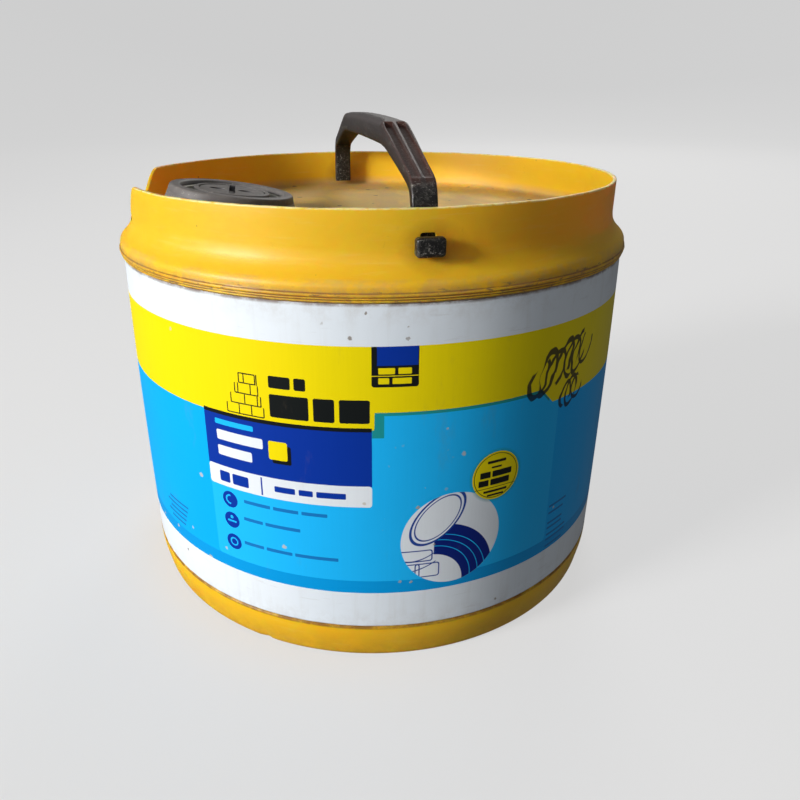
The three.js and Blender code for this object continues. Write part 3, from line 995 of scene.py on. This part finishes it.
def paintPicture(art):  # pale disc: a tilted drum outline, a band pouring from it, plain blocks below
    inside = art.disc(*layout["picture"])
    art.lay(inside, printInks["white"])
    line = printInks["line"]
    # the band is the space between two arcs and it widens as it falls
    outer = art.reach(7.5, 50.0).under(27.5, art.soft)
    hollow = art.reach(3.5, 45.5).above(16.0, art.soft)
    fall = inside.least(outer).least(hollow).least(art.around.above(5.0, art.soft))
    fall = fall.least(art.up.above(44, 0.2))
    art.lay(fall, printInks["deep"])
    for radius, middle in ((19.0, 4.6), (22.2, 5.6), (25.0, 6.6)):
        art.lay(fall.least(art.ring(middle, 47.0, radius, 0.4)), printInks["light"])
    mouth = art.reach(6.5, 81.0, 0.55, -42)
    art.lay(inside.least(mouth.under(9.0, art.soft)), printInks["white"])
    art.lay(inside.least(abs(mouth - 9.0).under(0.42, art.soft)), line)
    art.lay(inside.least(abs(mouth - 7.6).under(0.24, art.soft)), line)
    for radius in (13.2, 17.4):
        drum = art.ring(1.5, 76.5, radius, 0.5, 0.62, -42).least(mouth.above(9.0, art.soft))
        art.lay(inside.least(drum).least(art.around.under(6.0, 0.4)), line)
    blocks = ((-14, 4.5, 58.0, 64.5), (-14, -1.5, 46, 57.0), (-4, 8.0, 49.0, 57.0))
    art.lay(inside.least(together(art.outline(*block, 1.4, 0.6) for block in blocks)), line)
    # round yellow sticker with a soft printed rim
    middle, height, radius = layout["sticker"]
    glow = art.reach(middle, height)
    art.lay(glow.under(radius + 1.0, 1.6) * 0.55, printInks["teal"])
    art.lay(glow.under(radius, art.soft), printInks["yellow"])
    art.lay(art.ring(middle, height, radius - 1.0, 0.35), printInks["black"])
    for up, tall, spans in (
            (104.8, 1.4, [(29.8, 39.6)]), (102.2, 0.9, [(32.0, 37.4)]),
            (97.6, 3.2, [(26.2, 31.6), (32.6, 43.0)]), (93.4, 3.2, [(25.6, 30.8), (31.8, 42.0)]),
            (91.9, 0.3, [(23.6, 45.8)]), (89.6, 1.2, [(28.4, 41.0)]), (87.6, 1.0, [(30.4, 39.2)])):
        art.bars(printInks["black"], up, up + tall, spans, min(0.4, tall * 0.3))


marker = {
    "ink": ink(22, 24, 34),
    "loops": [  # middle, height, half sizes, lean in degrees, width
        (56.0, 141.5, 4.6, 9.5, -24, 1.5), (61.0, 143.0, 4.4, 10.5, -22, 1.5),
        (66.5, 143.5, 4.8, 9.0, -26, 1.4), (72.0, 145.5, 4.6, 11.0, -24, 1.4),
        (78.0, 146.5, 5.0, 9.5, -22, 1.3), (84.0, 148.0, 4.6, 10.5, -26, 1.2),
        (90.5, 150.0, 5.0, 9.0, -24, 1.1), (75.5, 128.5, 4.0, 6.5, -20, 1.3),
        (80.0, 129.5, 4.2, 7.5, -24, 1.3), (85.0, 130.5, 4.0, 6.0, -22, 1.2),
    ],
    "opening": 0.94,  # how much of each loop is drawn
    "wobble": (5.0, 0.09),  # how far and how fast the hand strays
    "strength": 0.9,
}


def paintMarker(art, side):  # two coiled scribbles of a felt marker, no letters
    far, fast = marker["wobble"]
    flat = art.up.node("CombineXYZ", inputs={0: art.around, 1: art.up})
    wobble = art.up.node("TexNoise", {"noise_dimensions": "2D"}, {"Vector": flat, "Scale": fast})
    bent = Artwork(art.around + (wobble - 0.5) * far, art.up, art.colour)
    strokes = []
    for middle, height, wide, tall, lean, width in marker["loops"]:
        stroke = bent.ring(middle, height, wide, width, wide / tall, lean)
        turned = math.radians(lean + middle * 9)  # where the loop is left open
        way = (bent.around - middle) * math.cos(turned) + (bent.up - height) * math.sin(turned)
        strokes.append(stroke * way.under(wide * marker["opening"], 0.8))
    art.lay(together(strokes) * side * marker["strength"], marker["ink"])


def roundTheTube(place):  # millimetres round the tube from the handle's axis, height, and the radius
    x, y, z = splitPlace(place)
    angle = y.maths("ARCTAN2", y, x)
    square = x * x + y * y
    return angle, z, square.maths("SQRT", square)


def specks(place, size, share, low=0.12, high=0.34):  # small chips; share is how many cells hold one
    wander = place.node("TexNoise", inputs={"Vector": place, "Scale": 0.7}, out=1)
    bent = place.node("VectorMath", {"operation": "MULTIPLY_ADD"},
                      {0: wander, 1: (1.2, 1.2, 1.2), 2: place})
    cell = {"Vector": bent, "Scale": 1 / size}
    away = place.node("TexVoronoi", inputs=cell)
    tint = place.node("TexVoronoi", inputs=cell, out=1)
    picked = place.node("SeparateXYZ", inputs={0: tint})
    grown = place.node("SeparateXYZ", inputs={0: tint}, out=1)
    return (low + (high - low) * grown - away).above(0, 0.05) * picked.under(share, 0.01)


def makeLabelFinish():
    material, place, shader = startFinish("printedFilm")
    angle, up, reach = roundTheTube(place)
    around = (angle + math.pi / 2) * body["radius"]
    shift = math.pi + math.radians(2.0)  # the same print stands on the near and the far side
    half = angle.maths("WRAP", angle + shift, math.pi, 0.0)
    printAround = (half - (math.pi / 2 + math.radians(2.0))) * body["radius"]
    start = mixColour(cloud(place, 80, 2.0), printInks["cyan"], ink(2, 170, 242))
    art = Artwork(printAround, up, start)
    paintFront(art)
    paintTicket(art)
    paintPicture(art)
    nearSide = angle.under(0.0, 0.01)
    marked = Artwork(around, up, art.colour)
    paintMarker(marked, nearSide)
    colour = marked.colour
    # fine upright texture, faded ink, dust and chips
    fibre = cloud(stretched(place, 1.0, 1.0, 0.012), 0.9, 2.0, 0.6)
    fade = cloud(place, 60, 3.0)
    dirt = cloud(stretched(place, 1, 1, 0.35), 14, 6.0, 0.7)
    tone = 0.95 + 0.06 * fade + 0.018 * (fibre.above(0.56, 0.3) - 0.5)
    colour = colour.node("VectorMath", {"operation": "SCALE"}, {0: colour, "Scale": tone})
    colour = mixColour(dirt.above(0.66, 0.10) * 0.10, colour, ink(120, 104, 84))
    drip = abs(around + 3.0).under(11.0, 14.0) * up.under(112, 30) * nearSide
    chips = specks(place, 5.2, 0.16).most(specks(place, 2.6, 0.05)) * drip
    few = specks(place, 9.0, 0.10, 0.06, 0.16)
    colour = mixColour(few * 0.8, colour, ink(196, 190, 178))
    colour = mixColour(chips * 0.85, colour, ink(176, 168, 150))
    rough = 0.36 + 0.12 * dirt + 0.25 * chips
    height = fibre * 0.10 + chips * 0.9 + cloud(place, 30, 2.0) * 3.0
    endFinish(shader, colour, rough, height, 0.06, 0.16)
    return material


def makeWhiteFinish():
    material, place, shader = startFinish("whiteTube")
    angle, up, reach = roundTheTube(place)
    around = (angle + math.pi / 2) * body["radius"]
    broad = cloud(place, 70, 3.0)
    streak = cloud(stretched(place, 1, 1, 0.08), 5, 5.0, 0.65)
    fibre = cloud(stretched(place, 1, 1, 0.015), 1.2, 2.0)
    colour = mixColour(broad, ink(226, 235, 244), ink(236, 242, 247))
    colour = mixColour(streak.above(0.62, 0.2) * 0.12, colour, ink(176, 170, 160))
    grime = cloud(place, 9, 6.0, 0.7)
    nearWelds = up.above(176, 10).most(up.under(27, 12))
    colour = mixColour(grime.above(0.54, 0.2) * nearWelds * 0.18, colour, ink(146, 122, 92))
    seam = up.above(181.6, 1.0).most(up.under(21.6, 1.0)) * grime.above(0.4, 0.3)
    colour = mixColour(seam * 0.7, colour, ink(96, 62, 38))
    patch = abs(around + 22.0).under(24.0, 26.0) * up.above(166, 6) * angle.under(0, 0.01)
    chips = (specks(place, 4.2, 0.20, 0.08, 0.26) * patch).most(specks(place, 8.0, 0.10, 0.05, 0.13))
    colour = mixColour(chips * 0.8, colour, ink(120, 104, 88))
    scratch = cloud(stretched(place, 0.3, 0.3, 3.0), 6, 4.0, 0.6)
    colour = mixColour(scratch.above(0.66, 0.06) * 0.25, colour, ink(200, 202, 204))
    height = fibre * 0.3 + broad * 4 - chips * 0.6 + scratch * 0.4
    endFinish(shader, colour, 0.30 + 0.2 * grime, height, 0.05, 0.35)
    return material


print("plastics")

plastics = {
    "yellow": ink(242, 196, 40),
    "yellowDeep": ink(236, 178, 24),
    "dust": ink(196, 160, 108),
    "rust": ink(120, 66, 28),
    "cutEdge": ink(246, 226, 160),
}


def makeYellowFinish():
    material, place, shader = startFinish("yellowPolyethylene")
    angle, up, reach = roundTheTube(place)
    x, y, z = splitPlace(place)
    broad = cloud(place, 55, 4.0)
    grime = cloud(place, 8, 7.0, 0.7)
    fine = cloud(place, 1.6, 4.0, 0.6)
    colour = mixColour(broad, plastics["yellowDeep"], plastics["yellow"])
    # drag marks round the collar and short scuffs
    drag = cloud(stretched(place, 1, 1, 9.0), 22, 5.0, 0.62, 0.4)
    colour = mixColour(drag.above(0.62, 0.12) * 0.07, colour, plastics["cutEdge"])
    scuff = cloud(place, 5, 6.0, 0.75, 1.5).above(0.66, 0.08)
    colour = mixColour(scuff * 0.16, colour, ink(176, 120, 30))
    # weld band dirt between the beads, and dirt at the bottom weld
    lines = together(abs(z - height).under(0.28, 0.4) for height in (183.0, 184.35, 185.45, 187.1))
    outside = reach.above(134.5, 0.8)
    colour = mixColour(lines * outside * grime.above(0.36, 0.3) * 0.85, colour, plastics["rust"])
    band = abs(z - 185.4).under(3.2, 2.0) * outside
    colour = mixColour(band * grime.above(0.46, 0.3) * 0.55, colour, ink(158, 112, 60))
    crust = cloud(stretched(place, 1, 1, 3.0), 7, 6.0, 0.75).above(0.60, 0.05)
    colour = mixColour(band * crust * 0.8, colour, ink(120, 92, 66))
    low = abs(z - 191).under(4.0, 5.0) * outside * cloud(place, 16, 6.0, 0.7).above(0.52, 0.14)
    colour = mixColour(low * 0.28, colour, ink(190, 160, 116))
    seam = abs(z - 20.4).under(1.0, 1.0) * reach.above(130, 1)
    colour = mixColour(seam * grime.above(0.4, 0.3) * 0.8, colour, ink(104, 62, 32))
    under = z.under(10, 14) * grime.above(0.45, 0.3)
    colour = mixColour(under * 0.35, colour, ink(168, 112, 40))
    # settled cement dust on the deck, creeping up the inside of the collar
    inside = reach.under(127.9, 0.4) * z.above(190, 3)
    deck = z.under(199.5, 5.0)
    wiped = cloud(stretched(place, 1.0, 0.5, 1.0), 30, 5.0, 0.6, 0.8).above(0.56, 0.16)
    thick = 0.80 + 0.6 * (cloud(place, 26, 5.0) - 0.5) + 0.25 * (fine - 0.5) - 0.4 * wiped
    dust = inside * deck * thick
    colour = mixColour(dust.clamped(), colour, plastics["dust"])
    spots = specks(place, 7.0, 0.14, 0.08, 0.3) * inside * deck
    colour = mixColour(spots * 0.7, colour, ink(120, 96, 70))
    # pale trimmed edge of the rim
    rim = z.above(218.1, 0.5) * cloud(place, 4, 3.0).above(0.42, 0.2)
    colour = mixColour(rim * 0.85, colour, plastics["cutEdge"])
    # painted shadow of the handle's head, darker to the right of each slot and broken up by grime
    square = (x - 2.5) * (x - 2.5) * 0.55 + (z - 203.5) * (z - 203.5)
    slotReach = square.maths("SQRT", square)
    headShadow = slotReach.under(8.5, 6.0) * abs(y).above(110, 4) * (0.35 + 0.65 * grime.above(0.42, 0.3))
    colour = mixColour(headShadow * 0.42, colour, ink(140, 76, 22))
    specksDark = specks(place, 9.0, 0.16, 0.02, 0.07)
    colour = mixColour(specksDark * 0.75, colour, ink(96, 60, 30))
    rough = 0.36 + 0.16 * grime + 0.35 * dust.clamped()
    height = fine * 0.25 + grime * 0.5 + drag * 0.8 + dust.clamped() * 0.8
    endFinish(shader, colour, rough, height, 0.07, 0.35, (0.45, (1.0, 0.30, 0.04), 0.006))
    return material


def faceUp(place):  # 1 where the unposed surface looks up
    normal = place.node("TexCoord", out="Normal")
    return normal.node("SeparateXYZ", inputs={0: normal}, out=2)


def makeBlackFinish():
    material, place, shader = startFinish("blackHandle")
    x, y, z = splitPlace(place)
    up = faceUp(place)
    grime = cloud(place, 4, 7.0, 0.7)
    fine = cloud(place, 1.0, 5.0, 0.65)
    colour = mixColour(grime, ink(12, 12, 12), ink(30, 28, 27))
    # dust on the grip and the slopes, thick in the channels
    raised = z.above(227, 10)
    dust = up.above(0.1, 0.8) * raised * (0.55 + 0.6 * (grime - 0.5))
    colour = mixColour(dust.clamped(), colour, ink(88, 82, 82))
    slopes = abs(y).above(60, 3) * abs(y).under(119, 4)
    channel = abs(abs(x) - 3.05).under(2.0, 0.4) * slopes * up.above(0.2, 0.4)
    colour = mixColour(slopes * up.above(0.2, 0.4) * (0.35 + 0.5 * grime), colour, ink(66, 46, 42))
    colour = mixColour(channel * (0.75 + 0.3 * fine), colour, ink(74, 42, 33))
    # pale scratches in short strokes
    strokes = ((0.25, 1.6, 0.5), (1.4, 0.4, 0.3), (0.7, 0.7, 1.8))
    marks = together(cloud(stretched(place, *stroke), 1.1, 4.0, 0.6, 1.4).above(0.655, 0.06)
                     for stroke in strokes)
    legs = abs(y).above(119, 2)
    rubbed = cloud(place, 2.2, 6.0, 0.75, 1.0).above(0.56, 0.08) * legs
    colour = mixColour(rubbed * 0.16, colour, ink(150, 146, 138))
    colour = mixColour(marks * grime.above(0.42, 0.3) * (0.45 + 0.4 * legs), colour, ink(172, 166, 156))
    rough = 0.24 + 0.24 * grime + 0.2 * marks + 0.15 * raised + 0.25 * channel
    height = fine * 0.3 + marks * -0.5 + grime * 0.8
    endFinish(shader, colour, rough, height, 0.09, 0.4)
    return material


def makeGreyFinish():
    material, place, shader = startFinish("greyClosure")
    up = faceUp(place)
    grime = cloud(place, 5, 7.0, 0.7)
    fine = cloud(place, 1.1, 4.0, 0.6)
    colour = mixColour(grime, ink(62, 62, 66), ink(84, 84, 88))
    colour = mixColour((up.above(0.3, 0.8) * (0.5 + 0.9 * (grime - 0.4))).clamped() * 0.7, colour,
                       ink(150, 142, 134))
    marks = cloud(stretched(place, 0.4, 1.3, 1.0), 1.8, 4.0, 0.6, 0.8).above(0.64, 0.08)
    colour = mixColour(marks * 0.4, colour, ink(178, 172, 164))
    rough = 0.46 + 0.2 * grime + 0.1 * marks
    endFinish(shader, colour, rough, fine * 0.4 + grime, 0.08)
    return material


def makeNaturalFinish():
    material, place, shader = startFinish("naturalSpout")
    grime = cloud(place, 7, 5.0, 0.65)
    fine = cloud(place, 1.4, 3.0)
    colour = mixColour(grime, ink(222, 220, 208), ink(206, 202, 186))
    colour = mixColour(grime.above(0.62, 0.1) * 0.3, colour, ink(170, 156, 128))
    endFinish(shader, colour, 0.38 + 0.15 * grime, fine * 0.4 + grime, 0.05, 0.5,
              (0.15, (1.0, 0.9, 0.7), 0.003))
    return material


def makeRubberFinish():
    material, place, shader = startFinish("gasketRubber")
    grime = cloud(place, 3, 6.0, 0.7)
    colour = mixColour(grime, ink(22, 22, 22), ink(44, 43, 41))
    endFinish(shader, colour, 0.7 + 0.15 * grime, grime, 0.08)
    return material


print("joining finishes, bodies and nodes")

whiteTube = makeWhiteFinish()
printedFilm = makeLabelFinish()
yellowPolyethylene = makeYellowFinish()
blackPlastic = makeBlackFinish()
greyPlastic = makeGreyFinish()
naturalPlastic = makeNaturalFinish()
gasketRubber = makeRubberFinish()

finishPiece(tubeShell, whiteTube, "pail", ["body_tube"])
finishPiece(printedLabel, printedFilm, "pail", ["label_wrap"])
finishPiece(bottomEnd, yellowPolyethylene, "pail", ["bottom_end"])
finishPiece(topEnd, yellowPolyethylene, "pail", ["top_end"])
finishPiece(carryHandle, blackPlastic, "handle", ["handle"])
finishPiece(closureRing, greyPlastic, "pail", ["closure_ring"])
finishPiece(neckGasket, gasketRubber, "pail", ["neck_gasket"])
finishPiece(bellowsOuterLeg, naturalPlastic, "pail", ["spout_bellows"])
finishPiece(spoutNozzle, naturalPlastic, "spout", ["spout_nozzle"])
finishPiece(tearSeal, naturalPlastic, "spout", ["tear_seal"])
finishPiece(capSeal, naturalPlastic, "cap_seal", ["cap_seal"])
finishPiece(spoutCap, greyPlastic, "cap", ["spout_cap"])
finishPiece(tabLeft, greyPlastic, "tab_left", ["pull_tab_left"])
finishPiece(tabRight, greyPlastic, "tab_right", ["pull_tab_right"])

bellowsInnerLeg.data.materials.append(naturalPlastic)
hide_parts("spout_bellows")
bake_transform(bellowsInnerLeg)

bpy.context.view_layer.update()
